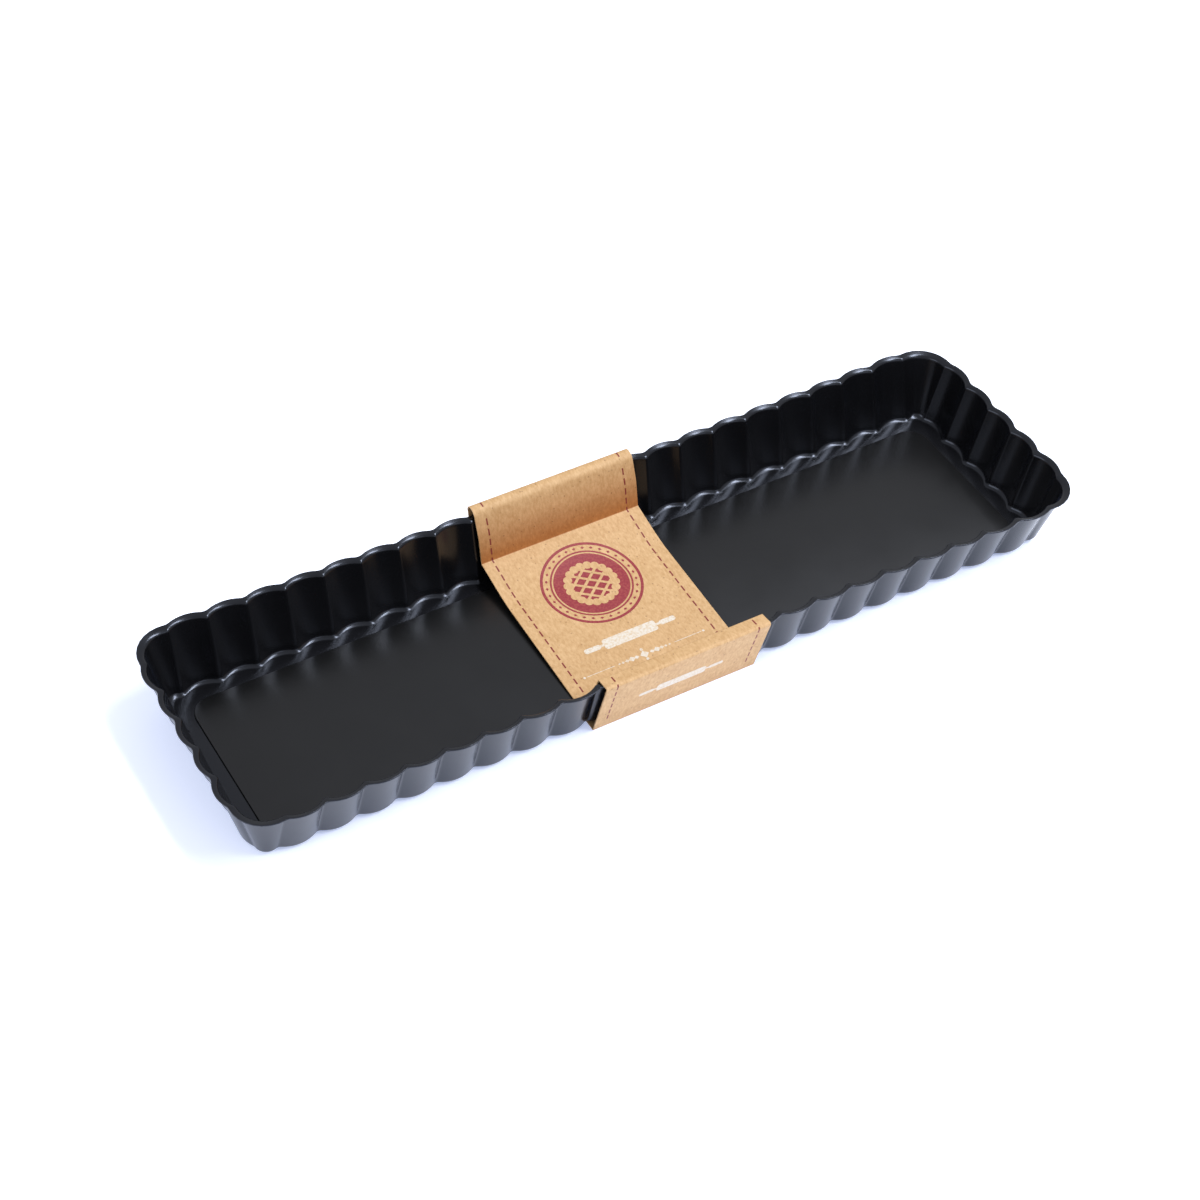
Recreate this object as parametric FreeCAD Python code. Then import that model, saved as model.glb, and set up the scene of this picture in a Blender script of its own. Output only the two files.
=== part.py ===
import FreeCAD, Part
import math
import os
from dataclasses import dataclass, replace

from FreeCAD import Vector

# Long fluted flan tin with a loose base, held in a folded card sleeve. Millimetres.
# Origin: centre of the bounding box, on the surface that the tin stands on.
# +X runs along the tin, +Y towards its rear wall, +Z up. The tin stands on the sleeve's underside.

# --- driving dimensions -------------------------------------------------------------------------
STEEL = 0.6  # coated steel sheet of the ring and the base
CARD = 0.5  # kraft card of the sleeve
GLUE = 0.1  # glue line in the sleeve's lap

SIDE_FLUTES = 21  # along each long wall, between the corner lobes
END_FLUTES = 5  # along each end wall
SIDE_PITCH = 15.0
END_PITCH = 14.65

RIM_HALF_LENGTH = 169.8  # to the line of the inner cusps, at the shoulder under the lip
RIM_HALF_WIDTH = 47.2
SIDE_FLARE = 8.0  # how far the long walls lean out from floor to shoulder
END_FLARE = 6.4  # the same for the end walls
SHOULDER_HEIGHT = 26.3  # shoulder above the ring's underside
RIM_BOW = 1.7  # how far the card sleeve presses each long wall's rim in, at its middle

RIM_FLUTE = 2.3  # depth of the flutes at the shoulder, from cusp to crest
FOOT_FLUTE = 2.1  # the same at the floor
EDGE_FLUTE = 1.6  # the same at the outer edge of the lip
RIM_CUSP_RADIUS = 1.4
FOOT_CUSP_RADIUS = 2.6
EDGE_CUSP_RADIUS = 4.0
RIM_CORNER = 11.5  # corner lobe's radius plus the cusp's, at the shoulder
FOOT_CORNER = 6.5
EDGE_CORNER = 16.8

FOOT_BEND = 2.0  # inside radius between floor and wall
LIP_BEND = 1.4  # radius of the shoulder that turns out into the lip
LIP_WIDTH = 2.0  # along the lip's slope, from the shoulder's corner to its edge
LIP_SLOPE = math.radians(18)  # the lip rises outwards

LEDGE_REACH = 10.5  # from the floor's cusp line to the ledge's inner edge
BASE_MARGIN = 5.4  # from the floor's cusp line to the base's edge
BASE_CORNER = 8.0
LEDGE_CORNER = 5.0

SLEEVE_WIDTH = 67.6
SLEEVE_CENTRE_X = -2.6
LAP_REAR_END = 36.0  # rear end of the lower layer, Y
LAP_FRONT_END = 16.0  # front end of the upper layer, Y
GLUE_MARGIN = 2.0  # from the lap's ends to the glue
GLUE_SIDE_MARGIN = 4.0

# --- derived levels -----------------------------------------------------------------------------
UNDERSIDE_Z = 2 * CARD + GLUE
FLOOR_Z = UNDERSIDE_Z + STEEL
SHOULDER_Z = UNDERSIDE_Z + SHOULDER_HEIGHT
FOOT_HALF_LENGTH = RIM_HALF_LENGTH - END_FLARE
FOOT_HALF_WIDTH = RIM_HALF_WIDTH - SIDE_FLARE
BEND_STEPS = 3  # flat strips that a bend of the sheet is made of


@dataclass(frozen=True)
class Level:
    """One closed fluted outline of the ring, level at height z."""

    half_length: float
    half_width: float
    flute: float
    cusp_radius: float
    corner: float
    bow: float
    z: float


FOOT = Level(
    half_length=FOOT_HALF_LENGTH,
    half_width=FOOT_HALF_WIDTH,
    flute=FOOT_FLUTE,
    cusp_radius=FOOT_CUSP_RADIUS,
    corner=FOOT_CORNER,
    bow=0.0,
    z=FLOOR_Z,
)
SHOULDER = Level(
    half_length=RIM_HALF_LENGTH,
    half_width=RIM_HALF_WIDTH,
    flute=RIM_FLUTE,
    cusp_radius=RIM_CUSP_RADIUS,
    corner=RIM_CORNER,
    bow=RIM_BOW,
    z=SHOULDER_Z,
)


def grown(level, out, rise=0.0):
    """The outline parallel to a level's, further out and higher."""
    return replace(
        level,
        half_length=level.half_length + out,
        half_width=level.half_width + out,
        cusp_radius=level.cusp_radius - out,
        z=level.z + rise,
    )


def side_circles(count, pitch, half, level):
    """Lobe and cusp circles of one wall as (along, outward, radius), with a cusp at each end."""
    half_turn = 2 * math.atan(2 * level.flute / pitch)
    reach = pitch / 2 / math.sin(half_turn)
    cusp_line = half + level.cusp_radius
    circles = [(-count * pitch / 2, cusp_line, level.cusp_radius)]
    for i in range(count):
        along = (i - (count - 1) / 2) * pitch
        circles.append((along, cusp_line - reach * math.cos(half_turn), reach - level.cusp_radius))
        circles.append((along + pitch / 2, cusp_line, level.cusp_radius))
    return circles


def bowed(circles, half, bow):
    """The circles of a wall whose line is bent into a shallow arc, in at its middle."""
    if not bow:
        return circles
    radius = circles[-1][0] ** 2 / (2 * bow)
    placed = []
    for along, outward, size in circles:
        turn = along / radius
        reach = radius - (outward - half)
        placed.append((reach * math.sin(turn), half - bow + radius - reach * math.cos(turn), size))
    return placed


def corner_circle(before, after, level):
    """The lobe that touches the last cusp circle of one wall and the first of the next."""
    chord = after - before
    outward = Vector(chord.y, -chord.x, 0).normalize()
    inset = math.sqrt(level.corner**2 - chord.Length**2 / 4)
    return (before + after) * 0.5 - outward * inset, level.corner - level.cusp_radius


def fluted_wire(level):
    """Closed wire of tangent arcs: a lobe, a cusp, a lobe, and so on round the four walls."""
    end = side_circles(END_FLUTES, END_PITCH, level.half_length, level)
    side = side_circles(SIDE_FLUTES, SIDE_PITCH, level.half_width, level)
    side = bowed(side, level.half_width, level.bow)
    circles = []
    for quarter, wall in enumerate((end, side, end, side)):
        angle = quarter * math.pi / 2
        outward = Vector(math.cos(angle), math.sin(angle), 0)
        along = Vector(-outward.y, outward.x, 0)
        placed = [(along * a + outward * o, radius) for a, o, radius in wall]
        if circles:
            circles.append(corner_circle(circles[-1][0], placed[0][0], level))
        circles += placed
    circles.append(corner_circle(circles[-1][0], circles[0][0], level))

    up = Vector(0, 0, level.z)
    touch = []
    for i, (centre, radius) in enumerate(circles):
        following, next_radius = circles[(i + 1) % len(circles)]
        touch.append(centre + (following - centre) * (radius / (radius + next_radius)))
    edges = []
    for i, (centre, radius) in enumerate(circles):
        start, stop = touch[i - 1], touch[i]
        middle = centre + ((start + stop) * 0.5 - centre).normalize() * radius
        edges.append(Part.Arc(start + up, middle + up, stop + up).toShape())
    return Part.Wire(edges)


def rounded_rectangle(half_length, half_width, radius, z):
    """Closed wire of a rectangle with round corners."""
    x, y = half_length - radius, half_width - radius
    tip = radius * math.sqrt(0.5)
    edges = []
    for sx, sy in ((1, 1), (-1, 1), (-1, -1), (1, -1)):
        corner = Vector(sx * x, sy * y, z)
        on_end = corner + Vector(sx * radius, 0, 0)
        on_side = corner + Vector(0, sy * radius, 0)
        tangent = (on_end, on_side) if sx * sy > 0 else (on_side, on_end)
        arc = Part.Arc(tangent[0], corner + Vector(sx * tip, sy * tip, 0), tangent[1])
        if edges:
            edges.append(Part.LineSegment(edges[-1].EndPoint, arc.StartPoint))
        edges.append(arc)
    edges.append(Part.LineSegment(edges[-1].EndPoint, edges[0].StartPoint))
    return Part.Wire([edge.toShape() for edge in edges])


def ring_levels(skin):
    """Levels of one face of the sheet from floor to lip edge; skin is 0 inside the tin, 1 outside."""
    lean = math.atan2(SIDE_FLARE, SHOULDER_HEIGHT - STEEL)  # of the wall, from the vertical
    thickness = skin * STEEL
    levels = []

    # foot bend: its centre is inside the tin, so the outer face has the larger radius
    turn = math.pi / 2 - lean
    tangent = FOOT_BEND * math.tan(turn / 2)
    radius = FOOT_BEND + thickness
    for step in range(BEND_STEPS + 1):
        angle = turn * step / BEND_STEPS
        out = -tangent + radius * math.sin(angle)
        rise = FOOT_BEND - radius * math.cos(angle)
        cusp = FOOT_CUSP_RADIUS - thickness * math.sin(angle)
        levels.append(replace(grown(FOOT, out, rise), cusp_radius=cusp))

    # shoulder bend: its centre is outside the tin, so the inner face has the larger radius
    turn = math.pi / 2 - lean - LIP_SLOPE
    tangent = LIP_BEND * math.tan(turn / 2)
    radius = LIP_BEND - thickness
    start_out = -tangent * math.sin(lean)
    start_rise = -tangent * math.cos(lean)
    for step in range(BEND_STEPS + 1):
        angle = lean + turn * step / BEND_STEPS
        out = start_out + LIP_BEND * math.cos(lean) - radius * math.cos(angle)
        rise = start_rise - LIP_BEND * math.sin(lean) + radius * math.sin(angle)
        cusp = RIM_CUSP_RADIUS - thickness * math.cos(angle)
        levels.append(replace(grown(SHOULDER, out, rise), cusp_radius=cusp))

    # lip: the flutes fade towards its edge
    slope = Vector(math.cos(LIP_SLOPE), 0, math.sin(LIP_SLOPE))
    below = Vector(math.sin(LIP_SLOPE), 0, -math.cos(LIP_SLOPE)) * thickness
    edge = slope * LIP_WIDTH + below
    fade = RIM_FLUTE - EDGE_FLUTE
    lip_edge = Level(
        half_length=RIM_HALF_LENGTH + edge.x + fade,
        half_width=RIM_HALF_WIDTH + edge.x + fade,
        flute=EDGE_FLUTE,
        cusp_radius=EDGE_CUSP_RADIUS,
        corner=EDGE_CORNER,
        bow=RIM_BOW,
        z=SHOULDER_Z + edge.z,
    )
    return levels + [lip_edge]


def fluted_ring():
    """One pressed sheet: ledge, foot bend, fluted wall, shoulder and lip."""
    inner = [fluted_wire(level) for level in ring_levels(0)]
    outer = [fluted_wire(level) for level in ring_levels(1)]
    faces = []
    for skin in (outer, inner, (outer[-1], inner[-1])):
        for lower, upper in zip(skin, skin[1:]):
            faces += Part.makeLoft([lower, upper], False, True).Faces
    hole = (FOOT_HALF_LENGTH - LEDGE_REACH, FOOT_HALF_WIDTH - LEDGE_REACH, LEDGE_CORNER)
    hole_below = rounded_rectangle(*hole, UNDERSIDE_Z)
    hole_above = rounded_rectangle(*hole, FLOOR_Z)
    faces.append(Part.makeFace([outer[0], hole_below], "Part::FaceMakerBullseye"))
    faces.append(Part.makeFace([inner[0], hole_above], "Part::FaceMakerBullseye"))
    faces += Part.makeLoft([hole_below, hole_above], False, True).Faces
    shell = Part.Shell(faces)
    shell.sewShape()
    return Part.Solid(shell)


def loose_base():
    """Flat plate with round corners, lying on the ring's ledge."""
    half_length = FOOT_HALF_LENGTH - BASE_MARGIN
    half_width = FOOT_HALF_WIDTH - BASE_MARGIN
    outline = rounded_rectangle(half_length, half_width, BASE_CORNER, FLOOR_Z)
    return Part.Face(outline).extrude(Vector(0, 0, STEEL))


def folded_strip(path, thickness):
    """Face of a folded strip seen end on: path is (y, z, bend radius) along its middle."""
    points = [Vector(0, y, z) for y, z, _ in path]
    sides = []
    for side in (1, -1):
        edges = []
        across = (points[1] - points[0]).normalize()
        last = points[0] + Vector(0, -across.z, across.y) * (side * thickness / 2)
        for i in range(1, len(points) - 1):
            before = (points[i] - points[i - 1]).normalize()
            after = (points[i + 1] - points[i]).normalize()
            turn = before.getAngle(after)
            left = 1 if before.y * after.z - before.z * after.y > 0 else -1
            tangent = path[i][2] * math.tan(turn / 2)
            centre = points[i] - before * tangent + Vector(0, -before.z, before.y) * (left * path[i][2])
            radius = path[i][2] - left * side * thickness / 2
            start = centre - Vector(0, -before.z, before.y) * (left * radius)
            stop = centre - Vector(0, -after.z, after.y) * (left * radius)
            middle = centre + (points[i] - centre).normalize() * radius
            edges.append(Part.LineSegment(last, start).toShape())
            edges.append(Part.Arc(start, middle, stop).toShape())
            last = stop
        final = (points[-1] - points[-2]).normalize()
        end = points[-1] + Vector(0, -final.z, final.y) * (side * thickness / 2)
        edges.append(Part.LineSegment(last, end).toShape())
        sides.append(edges)
    left_side, right_side = sides
    caps = [
        Part.LineSegment(left_side[-1].Vertexes[-1].Point, right_side[-1].Vertexes[-1].Point),
        Part.LineSegment(right_side[0].Vertexes[0].Point, left_side[0].Vertexes[0].Point),
    ]
    loop = left_side + [caps[0].toShape()] + right_side[::-1] + [caps[1].toShape()]
    return Part.Face(Part.Wire(Part.__sortEdges__(loop)))


def card_sleeve():
    """Card band: lap under the tin, up the rear, over the rim, across the tin, over the front."""
    lower, upper = CARD / 2, CARD * 1.5 + GLUE
    path = [
        (LAP_FRONT_END, upper, 0),
        (42.9, upper, 0.8),  # fold under the rear wall
        (51.7, 31.0, 2.2),  # rounded bend, clear of the rear lip
        (46.6, 31.2, 3.0),
        (42.3, 21.0, 26.0),  # the inner flap bows towards the rear wall
        (39.9, 9.9, 0.8),  # sharp crease above the floor
        (22.0, 5.7, 60.0),
        (-28.0, 3.1, 60.0),
        (-37.2, 2.9, 1.0),  # crease at the foot of the front wall
        (-44.9, 27.95, 0.6),  # fold inside the front lip
        (-50.7, 28.75, 0.7),  # fold outside the front lip
        (-43.2, lower, 0.7),  # fold under the front wall
        (LAP_REAR_END, lower, 0),
    ]
    strip = folded_strip(path, CARD)
    strip.translate(Vector(SLEEVE_CENTRE_X - SLEEVE_WIDTH / 2, 0, 0))
    return strip.extrude(Vector(SLEEVE_WIDTH, 0, 0))


def sleeve_glue():
    """Thin strip of glue between the two layers of the lap."""
    width = SLEEVE_WIDTH - 2 * GLUE_SIDE_MARGIN
    length = LAP_REAR_END - LAP_FRONT_END - 2 * GLUE_MARGIN
    corner = Vector(SLEEVE_CENTRE_X - width / 2, LAP_FRONT_END + GLUE_MARGIN, CARD)
    return Part.makeBox(width, length, GLUE, corner)


def main():
    """Write one STEP file for each piece."""
    os.makedirs("parts", exist_ok=True)
    for make in (fluted_ring, loose_base, card_sleeve, sleeve_glue):
        shape = make()
        box = shape.BoundBox
        print(f"{make.__name__}: valid {shape.isValid()}, {len(shape.Faces)} faces")
        print(f"  {shape.Volume / 1000:.2f} cm3")
        print(f"  x {box.XMin:.2f} to {box.XMax:.2f}")
        print(f"  y {box.YMin:.2f} to {box.YMax:.2f}")
        print(f"  z {box.ZMin:.2f} to {box.ZMax:.2f}")
        shape.exportStep(f"parts/{make.__name__}.step")


main()
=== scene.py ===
"""Long fluted flan tin with a loose base, held in a folded kraft card sleeve.

The ring is pressed from coated steel sheet, the base plate drops into it, and a band of
printed card is folded round both and glued underneath. All sizes are in metres.
"""

from __future__ import annotations

import logging
import math
from collections.abc import Callable, Iterator, Sequence
from contextlib import contextmanager
from dataclasses import astuple, dataclass, field, replace
from enum import Enum

import bmesh
import bpy
from mathutils import Matrix, Vector

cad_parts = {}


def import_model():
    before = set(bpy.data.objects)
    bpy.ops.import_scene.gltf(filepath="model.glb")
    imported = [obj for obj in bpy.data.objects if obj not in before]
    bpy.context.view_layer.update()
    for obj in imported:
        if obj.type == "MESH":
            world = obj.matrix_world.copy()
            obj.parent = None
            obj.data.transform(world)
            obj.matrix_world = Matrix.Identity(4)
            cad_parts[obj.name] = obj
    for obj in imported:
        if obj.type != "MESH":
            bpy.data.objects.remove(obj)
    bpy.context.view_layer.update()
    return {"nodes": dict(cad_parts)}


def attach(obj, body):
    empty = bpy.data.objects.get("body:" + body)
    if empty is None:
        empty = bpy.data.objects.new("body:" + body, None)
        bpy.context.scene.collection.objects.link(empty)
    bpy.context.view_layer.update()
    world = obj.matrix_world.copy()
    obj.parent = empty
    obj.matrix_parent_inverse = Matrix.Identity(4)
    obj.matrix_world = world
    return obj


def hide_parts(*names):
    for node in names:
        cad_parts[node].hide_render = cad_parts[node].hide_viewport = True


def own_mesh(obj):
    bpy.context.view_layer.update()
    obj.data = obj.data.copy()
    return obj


log = logging.getLogger("flan_tin")

STEEL = 0.0006
CARD = 0.0005
SAME = 1e-6  # places closer than this are one place

# sockets of a Mix node: its share, its two colours, the colour that it gives, and its two numbers
SHARE, FIRST, SECOND, BLEND = 0, 6, 7, 2
FIRST_NUMBER, SECOND_NUMBER = 2, 3


# --- small tools ---


def linear(colour: str) -> tuple[float, float, float, float]:
    """Turn an sRGB hex colour into linear RGBA.

    Args:
        colour: six hex digits after a hash sign.

    Returns:
        Red, green, blue and an alpha of 1.
    """
    parts = [int(colour[i : i + 2], 16) / 255 for i in (1, 3, 5)]
    red, green, blue = (c / 12.92 if c <= 0.04045 else ((c + 0.055) / 1.055) ** 2.4 for c in parts)
    return red, green, blue, 1.0


def deselect() -> None:
    """Leave nothing selected in object mode."""
    bpy.ops.object.select_all(action="DESELECT")


def activate(obj: bpy.types.Object) -> None:
    """Make an object the only selected one and the active one."""
    deselect()
    obj.select_set(True)
    bpy.context.view_layer.objects.active = obj


def primitive(
    name: str, kind: str, scale: tuple[float, float, float] = (1.0, 1.0, 1.0), **settings: object
) -> bpy.types.Object:
    """Add a mesh primitive and bake its place and size into its mesh.

    Args:
        name: the new object's name.
        kind: the primitive's operator, such as "cube".
        scale: its size along each axis, in unit primitives.
        settings: the operator's own settings.

    Returns:
        The new object, at the origin.
    """
    deselect()
    getattr(bpy.ops.mesh, f"primitive_{kind}_add")(**settings)
    made = bpy.context.object
    made.name = made.data.name = name
    made.scale = scale
    bpy.ops.object.transform_apply(location=True, rotation=True, scale=True)
    return made


@contextmanager
def editing(obj: bpy.types.Object) -> Iterator[None]:
    """Edit mode on one object, with nothing selected at its start."""
    activate(obj)
    bpy.ops.object.mode_set(mode="EDIT")
    bpy.ops.mesh.select_all(action="DESELECT")
    yield
    bpy.ops.object.mode_set(mode="OBJECT")


def pick_edges(obj: bpy.types.Object, test: Callable[[Vector, Vector], bool]) -> None:
    """Select the edges that pass a test on their two ends, in edit mode.

    Args:
        obj: the object in edit mode.
        test: takes both ends of an edge and says whether it is wanted.
    """
    bpy.ops.mesh.select_mode(type="EDGE")
    bpy.ops.mesh.select_all(action="DESELECT")
    mesh = bmesh.from_edit_mesh(obj.data)
    for edge in mesh.edges:
        edge.select_set(test(edge.verts[0].co, edge.verts[1].co))
    bmesh.update_edit_mesh(obj.data)


def apply_modifier(obj: bpy.types.Object, kind: str, **settings: object) -> None:
    """Add a modifier with its settings and apply it."""
    activate(obj)
    modifier = obj.modifiers.new(kind.title(), kind)
    for key, value in settings.items():
        setattr(modifier, key, value)
    bpy.ops.object.modifier_apply(modifier=modifier.name)


def smooth(obj: bpy.types.Object, degrees: float = 35.0) -> None:
    """Shade smooth, with creases kept where faces meet more sharply than an angle."""
    activate(obj)
    bpy.ops.object.shade_smooth_by_angle(angle=math.radians(degrees))


def dress(obj: bpy.types.Object, material: bpy.types.Material) -> None:
    """Give an object one material and nothing else."""
    obj.data.materials.clear()
    obj.data.materials.append(material)


def report(obj: bpy.types.Object) -> None:
    """Say in the log how many faces a finished piece has."""
    log.info("%s: %d faces", obj.name, len(obj.data.polygons))


# --- finishes ---


def add_node(
    tree: bpy.types.NodeTree,
    kind: str,
    inputs: dict[str | int, object] | None = None,
    **settings: object,
) -> bpy.types.Node:
    """Add a shader node with its settings, values and links.

    Args:
        tree: the material's node tree.
        kind: the node's type.
        inputs: input name or number to a value, or to the output socket that feeds it.
        settings: the node's own properties.

    Returns:
        The new node.
    """
    made = tree.nodes.new(kind)
    for key, value in settings.items():
        setattr(made, key, value)
    for key, value in (inputs or {}).items():
        if isinstance(value, bpy.types.NodeSocket):
            tree.links.new(value, made.inputs[key])
        else:
            made.inputs[key].default_value = value
    return made


class Finish:
    """Base of every finish: starts a material and closes it with its shader."""

    name: str

    def start(self) -> tuple[bpy.types.Material, bpy.types.NodeTree, bpy.types.NodeSocket]:
        """Make the empty material.

        Returns:
            The material, its node tree, and the Object coordinates in metres.
        """
        material = bpy.data.materials.new(self.name)
        material.use_nodes = True
        tree = material.node_tree
        tree.nodes.clear()
        return material, tree, add_node(tree, "ShaderNodeTexCoord").outputs["Object"]

    def close(self, tree: bpy.types.NodeTree, inputs: dict[str | int, object]) -> None:
        """Add the shader with its inputs, and the output."""
        shader = add_node(tree, "ShaderNodeBsdfPrincipled", inputs)
        add_node(tree, "ShaderNodeOutputMaterial", {"Surface": shader.outputs["BSDF"]})

    def material(self) -> bpy.types.Material:
        """Make the finished material."""
        raise NotImplementedError


@dataclass(frozen=True)
class NonStickCoat(Finish):
    """PTFE non-stick coat, sprayed on carbon steel and cured.

    The eye gets a near-black satin skin with a cool sheen, the fine orange peel that the
    spray leaves, and faint cloudiness where the coat is thinner.
    """

    name: str = "nonstick_coat_satin"
    colour: str = "#080809"
    thin_colour: str = "#0d0d0f"
    sheen_tint: str = "#dde6fa"
    haze: float = 0.06  # of the cool bloom at a low angle
    haze_tint: str = "#8ea2d2"
    roughness: float = 0.2
    rub: float = 0.05  # how much rougher the cloudy patches are
    peel_size: float = 0.0009  # spacing of the orange peel
    peel_height: float = 0.0000022
    cloud_size: float = 0.028

    def material(self) -> bpy.types.Material:
        """Make the coated steel."""
        made, tree, place = self.start()
        peel = add_node(
            tree,
            "ShaderNodeTexNoise",
            {"Vector": place, "Scale": 1 / self.peel_size, "Detail": 3.0, "Roughness": 0.55},
        )
        cloud = add_node(
            tree,
            "ShaderNodeTexNoise",
            {"Vector": place, "Scale": 1 / self.cloud_size, "Detail": 4.0, "Roughness": 0.6},
        )
        tone = add_node(
            tree,
            "ShaderNodeMix",
            {SHARE: cloud.outputs["Fac"], FIRST: linear(self.colour), SECOND: linear(self.thin_colour)},
            data_type="RGBA",
        )
        rough = add_node(
            tree,
            "ShaderNodeMapRange",
            {
                "Value": cloud.outputs["Fac"],
                "From Min": 0.3,
                "From Max": 0.7,
                "To Min": self.roughness,
                "To Max": self.roughness + self.rub,
            },
        )
        bump = add_node(
            tree,
            "ShaderNodeBump",
            {"Height": peel.outputs["Fac"], "Strength": 1.0, "Distance": self.peel_height},
        )
        self.close(
            tree,
            {
                "Base Color": tone.outputs[BLEND],
                "Roughness": rough.outputs[0],
                "IOR": 1.5,
                "Specular Tint": linear(self.sheen_tint),
                "Sheen Weight": self.haze,
                "Sheen Roughness": 0.3,
                "Sheen Tint": linear(self.haze_tint),
                "Normal": bump.outputs[0],
            },
        )
        return made


@dataclass(frozen=True)
class KraftCard(Finish):
    """Unbleached kraft card, machine-made with its fibres lying mostly one way.

    The eye gets a warm tan, mottled in soft patches, with a fine salt and pepper of paler
    and darker fibres and a few dark flecks of bark. The rear flap's forward face gets a
    painted warm shade, deepening from its bend down to its crease, where shade falls.
    """

    name: str = "kraft_card_unbleached"
    colour: str = "#bb9766"
    pale: str = "#cfac82"
    dark: str = "#a37b4e"
    fleck: str = "#5c3a1c"
    # painted shade colour, multiplied over the rear flap's forward face towards its crease
    flap_painted_shade: str = "#d9ac80"
    mottle: float = 0.22  # how much the soft patches count beside the fibres
    evenness: float = 0.45  # how much the plain colour covers both
    mottle_size: float = 0.0065
    fibre_size: float = 0.0009  # coarser than real fibres, so that they show
    fibre_stretch: float = 0.45
    fleck_size: float = 0.0026
    roughness: float = 0.62

    def material(self) -> bpy.types.Material:
        """Make the card."""
        made, tree, place = self.start()
        along = (1.0, self.fibre_stretch, self.fibre_stretch)
        lie = add_node(tree, "ShaderNodeMapping", {"Vector": place, "Scale": along})
        fibre = add_node(
            tree,
            "ShaderNodeTexNoise",
            {"Vector": lie.outputs[0], "Scale": 1 / self.fibre_size, "Detail": 4.0, "Roughness": 0.7},
        )
        mottle = add_node(
            tree, "ShaderNodeTexNoise", {"Vector": place, "Scale": 1 / self.mottle_size, "Detail": 3.0}
        )
        both = add_node(
            tree,
            "ShaderNodeMix",
            {SHARE: self.mottle, FIRST_NUMBER: fibre.outputs["Fac"], SECOND_NUMBER: mottle.outputs["Fac"]},
            data_type="FLOAT",
        )
        spread = add_node(
            tree, "ShaderNodeMapRange", {"Value": both.outputs[0], "From Min": 0.36, "From Max": 0.64}
        )
        cells = add_node(
            tree,
            "ShaderNodeTexVoronoi",
            {"Vector": place, "Scale": 1 / self.fleck_size, "Randomness": 1.0},
        )
        away = cells.outputs["Distance"]
        limits = {"Value": away, "From Min": 0.07, "From Max": 0.15, "To Min": 0.5, "To Max": 0.0}
        rare = add_node(tree, "ShaderNodeMapRange", limits)
        tone: bpy.types.NodeSocket | tuple[float, ...] = linear(self.dark)
        for share, colour, blend in (
            (spread.outputs[0], self.pale, "MIX"),
            (self.evenness, self.colour, "MIX"),
            (rare.outputs[0], self.fleck, "MIX"),
            # painted shade: darkens and warms the rear flap's forward face towards its crease
            (self.painted_flap_shade(tree), self.flap_painted_shade, "MULTIPLY"),
        ):
            tone = add_node(
                tree,
                "ShaderNodeMix",
                {SHARE: share, FIRST: tone, SECOND: linear(colour)},
                data_type="RGBA",
                blend_type=blend,
            ).outputs[BLEND]
        bump = add_node(
            tree, "ShaderNodeBump", {"Height": fibre.outputs["Fac"], "Strength": 0.6, "Distance": 0.00004}
        )
        self.close(
            tree, {"Base Color": tone, "Roughness": self.roughness, "IOR": 1.47, "Normal": bump.outputs[0]}
        )
        return made

    def painted_flap_shade(self, tree: bpy.types.NodeTree) -> bpy.types.NodeSocket:
        """How much painted shade a place gets: the rear flap's forward face, low down.

        Args:
            tree: the card's node tree.

        Returns:
            A share, from 0 off the flap to 1 at its crease.
        """
        spot = add_node(tree, "ShaderNodeTexCoord")
        place = add_node(tree, "ShaderNodeSeparateXYZ", {0: spot.outputs["Object"]})
        facing = add_node(tree, "ShaderNodeSeparateXYZ", {0: spot.outputs["Normal"]})
        # painted shade mask: card that faces forwards at the rear, strongest low down by the crease
        share: bpy.types.NodeSocket | float = 1.0
        for value, start, stop in (
            (facing.outputs["Y"], -0.45, -0.8),  # it looks forwards
            (place.outputs["Y"], 0.03, 0.038),  # it stands at the rear
            (place.outputs["Z"], 0.031, 0.012),  # from its bend down to its crease
        ):
            span = {"Value": value, "From Min": start, "From Max": stop}
            limit = add_node(tree, "ShaderNodeMapRange", span).outputs[0]
            share = add_node(tree, "ShaderNodeMath", {0: share, 1: limit}, operation="MULTIPLY").outputs[0]
        return share


@dataclass(frozen=True)
class PrintingInk(Finish):
    """Flat offset ink on kraft card: thin, so the card's fibres mottle it."""

    name: str
    colour: str
    worn: str
    roughness: float = 0.55
    grain_size: float = 0.0008

    def material(self) -> bpy.types.Material:
        """Make the ink."""
        made, tree, place = self.start()
        grain = add_node(
            tree, "ShaderNodeTexNoise", {"Vector": place, "Scale": 1 / self.grain_size, "Detail": 3.0}
        )
        share = add_node(
            tree, "ShaderNodeMapRange", {"Value": grain.outputs["Fac"], "From Min": 0.42, "From Max": 0.75}
        )
        tone = add_node(
            tree,
            "ShaderNodeMix",
            {SHARE: share.outputs[0], FIRST: linear(self.colour), SECOND: linear(self.worn)},
            data_type="RGBA",
        )
        bump = add_node(
            tree, "ShaderNodeBump", {"Height": grain.outputs["Fac"], "Strength": 0.4, "Distance": 0.00003}
        )
        self.close(
            tree,
            {
                "Base Color": tone.outputs[BLEND],
                "Roughness": self.roughness,
                "IOR": 1.48,
                "Normal": bump.outputs[0],
            },
        )
        return made


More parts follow.
